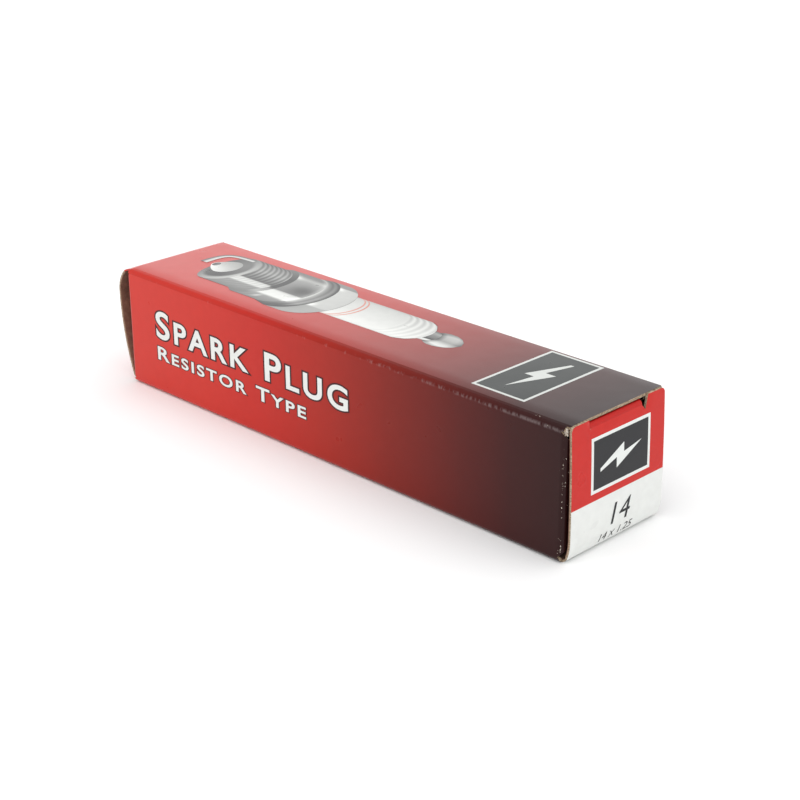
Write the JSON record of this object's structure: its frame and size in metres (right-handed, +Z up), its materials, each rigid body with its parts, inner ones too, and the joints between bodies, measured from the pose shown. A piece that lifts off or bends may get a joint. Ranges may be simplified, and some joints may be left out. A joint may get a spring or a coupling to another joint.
{
  "type": "boxed spark plug",
  "caption": "Reverse-tuck paperboard carton with hinged end flaps, holding a resistor spark plug with hexagonal shell, ribbed insulator, loose gasket and screw-on terminal nut.",
  "frame": {"origin": "middle of the carton's length and depth, on the surface that the bottom panel stands on", "axes": "+Z up, +X along the carton towards the end whose flap is creased to the bottom panel, -Y the printed front"},
  "size_m": [0.1108, 0.0238, 0.0226],
  "materials": {
    "printed_board": "gloss printed outside, grey-brown inside",
    "glue": "dried, dull",
    "plated_steel": "zinc plated, satin",
    "insulator_ceramic": "glazed white",
    "nickel_alloy": "drawn wire, satin",
    "copper": "drawn copper",
    "glass_seal": "fused copper-filled glass",
    "resistor": "matt black",
    "terminal_metal": "nickel plated, satin",
    "gasket_steel": "pressed sheet, satin",
    "talc": "packed powder"
  },
  "bodies": {
    "carton": {"top_panel": "printed_board", "front_panel": "printed_board", "bottom_panel": "printed_board", "back_panel": "printed_board", "glue_flap": "printed_board", "glue_bead": "glue"},
    "plug": {"metal_shell": "plated_steel", "insulator": "insulator_ceramic", "center_electrode": "nickel_alloy", "copper_core": "copper", "ground_electrode": "nickel_alloy", "lower_glass_seal": "glass_seal", "resistor_element": "resistor", "upper_glass_seal": "glass_seal", "terminal_stud": "terminal_metal", "packing_washer": "gasket_steel", "lower_seal_ring": "gasket_steel", "talc_seal": "talc", "upper_seal_ring": "gasket_steel"},
    "gasket": {"seat_gasket": "gasket_steel"},
    "nut": {"terminal_nut": "terminal_metal"},
    "left_cover": {"left_closure": "printed_board"},
    "left_tuck": {"left_tuck_flap": "printed_board"},
    "left_front_dust": {"left_front_dust_flap": "printed_board"},
    "left_back_dust": {"left_back_dust_flap": "printed_board"},
    "right_cover": {"right_closure": "printed_board"},
    "right_tuck": {"right_tuck_flap": "printed_board"},
    "right_front_dust": {"right_front_dust_flap": "printed_board"},
    "right_back_dust": {"right_back_dust_flap": "printed_board"}
  },
  "joints": [
    {"name": "plug_slide", "type": "slide", "parent": "carton", "child": "plug", "axis": [-1, 0, 0], "range_m": [0, 0.06]},
    {"name": "gasket_spin", "type": "hinge", "parent": "plug", "child": "gasket", "pos_m": [0.0291, 0, 0.01075], "axis": [1, 0, 0], "continuous": true},
    {"name": "terminal_nut_spin", "type": "hinge", "parent": "plug", "child": "nut", "pos_m": [-0.021, 0, 0.01075], "axis": [1, 0, 0], "continuous": true},
    {"name": "left_closure_hinge", "type": "hinge", "parent": "carton", "child": "left_cover", "pos_m": [-0.05211, 0, 0.02237], "axis": [0, 1, 0], "range_deg": [0, 120.5]},
    {"name": "left_tuck_hinge", "type": "hinge", "parent": "left_cover", "child": "left_tuck", "pos_m": [-0.05244, 0, 0.00082], "axis": [0, 1, 0], "range_deg": [0, 36.5]},
    {"name": "left_front_dust_hinge", "type": "hinge", "parent": "carton", "child": "left_front_dust", "pos_m": [-0.05181, -0.01167, 0.0113], "axis": [0, 0, 1], "range_deg": [0, 95.5]},
    {"name": "left_back_dust_hinge", "type": "hinge", "parent": "carton", "child": "left_back_dust", "pos_m": [-0.05181, 0.01167, 0.0113], "axis": [0, 0, -1], "range_deg": [0, 95.5]},
    {"name": "right_closure_hinge", "type": "hinge", "parent": "carton", "child": "right_cover", "pos_m": [0.05439, 0, 0.00022], "axis": [0, 1, 0], "range_deg": [0, 78]},
    {"name": "right_tuck_hinge", "type": "hinge", "parent": "right_cover", "child": "right_tuck", "pos_m": [0.05472, 0, 0.02177], "axis": [0, 1, 0], "range_deg": [0, 23.9]},
    {"name": "right_front_dust_hinge", "type": "hinge", "parent": "carton", "child": "right_front_dust", "pos_m": [0.05409, -0.01167, 0.0113], "axis": [0, 0, -1], "range_deg": [0, 78.5]},
    {"name": "right_back_dust_hinge", "type": "hinge", "parent": "carton", "child": "right_back_dust", "pos_m": [0.05409, 0.01167, 0.0113], "axis": [0, 0, 1], "range_deg": [0, 78.5]}
  ],
  "couplings": [
    {"joint": "left_closure_hinge", "follows": "plug_slide", "rad_per_m": 34.907},
    {"joint": "left_tuck_hinge", "follows": "plug_slide", "rad_per_m": 10.472},
    {"joint": "left_front_dust_hinge", "follows": "plug_slide", "rad_per_m": 27.634},
    {"joint": "left_back_dust_hinge", "follows": "plug_slide", "rad_per_m": 27.634},
    {"joint": "right_tuck_hinge", "follows": "right_closure_hinge", "ratio": 0.3},
    {"joint": "right_front_dust_hinge", "follows": "right_closure_hinge", "ratio": 1},
    {"joint": "right_back_dust_hinge", "follows": "right_closure_hinge", "ratio": 1}
  ]
}
